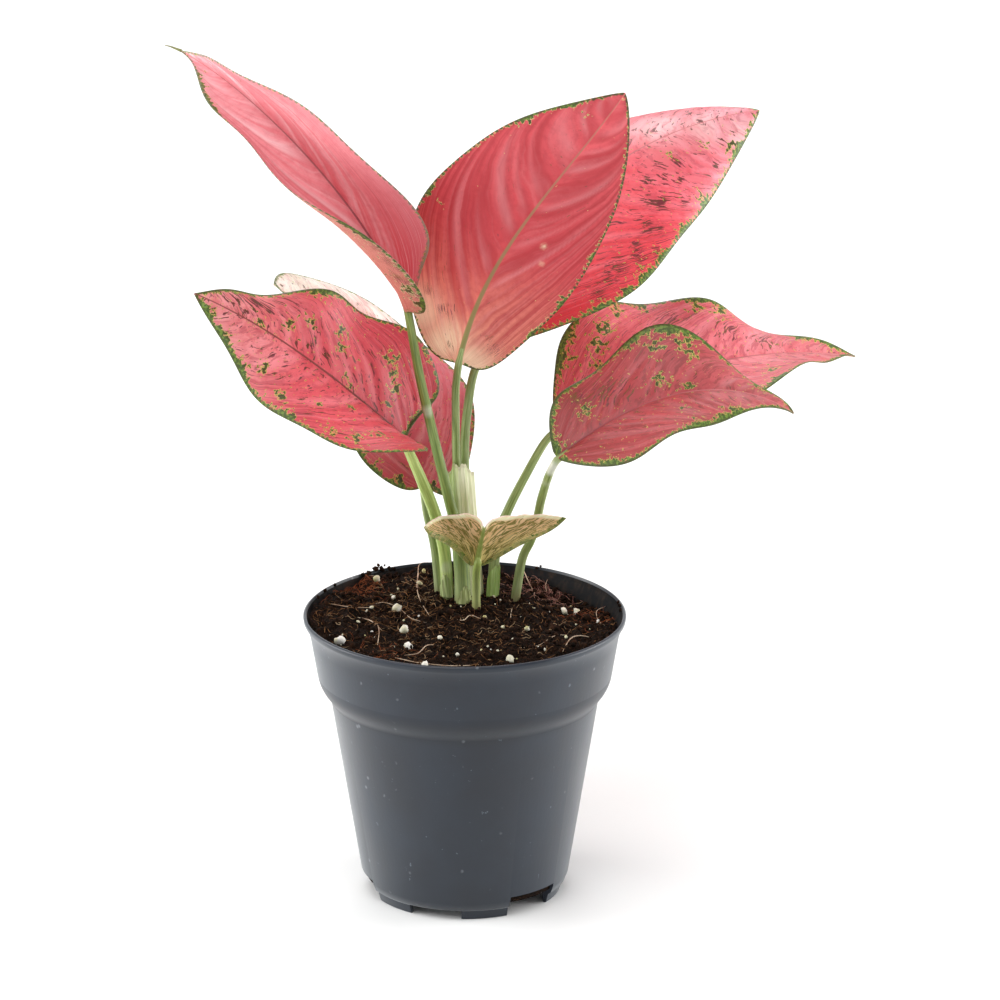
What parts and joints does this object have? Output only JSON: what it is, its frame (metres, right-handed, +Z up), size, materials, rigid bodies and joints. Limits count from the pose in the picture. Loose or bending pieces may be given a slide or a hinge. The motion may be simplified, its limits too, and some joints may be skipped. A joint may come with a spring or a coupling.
{
  "type": "potted chinese evergreen",
  "caption": "Potted red aglaonema house plant: variegated pink, red and green leaves on slim green stalks, rooted in dark peat in a stepped round nursery pot.",
  "frame": {"origin": "middle of the whole plant's footprint box, on the plane that the pot's feet stand on", "axes": "+Z up; +Y away from the viewer of the picture, +X to the viewer's right; the pot's own axis is upright, left of and in front of the origin"},
  "size_m": [0.2538, 0.1736, 0.3133],
  "materials": {
    "pot_plastic": "moulded polypropylene, satin with dust and scuffs",
    "peat": "damp fibrous peat with perlite",
    "stalk_green": "waxy green stalk",
    "dry_sheath": "papery pale green sheath",
    "leaf_upper_left": "waxy leaf, variegated red, pink and green",
    "leaf_centre": "waxy leaf, variegated red, pink and green",
    "leaf_upper_right": "waxy leaf, variegated red, pink and green",
    "leaf_left": "waxy leaf, variegated red, pink and green",
    "leaf_left_rear": "waxy leaf, variegated red, pink and green",
    "leaf_right_rear": "waxy leaf, variegated red, pink and green",
    "leaf_right_front": "waxy leaf, variegated red, pink and green",
    "leaf_trimmed_front": "waxy leaf, variegated red, pink and green"
  },
  "bodies": {
    "root": {"nursery_pot": "pot_plastic", "soil": "peat", "blade_upper_left": "leaf_upper_left", "stalk_upper_left": "stalk_green", "blade_centre": "leaf_centre", "stalk_centre": "stalk_green", "blade_upper_right": "leaf_upper_right", "stalk_upper_right": "stalk_green", "blade_left": "leaf_left", "stalk_left": "stalk_green", "blade_left_rear": "leaf_left_rear", "stalk_left_rear": "stalk_green", "blade_right_rear": "leaf_right_rear", "stalk_right_rear": "stalk_green", "blade_right_front": "leaf_right_front", "stalk_right_front": "stalk_green", "blade_trimmed_front": "leaf_trimmed_front", "stalk_trimmed_front": "stalk_green", "crown_sheath": "dry_sheath", "torn_sheath_left": "dry_sheath", "sheath_right": "dry_sheath", "bud_scale": "dry_sheath"}
  },
  "joints": []
}
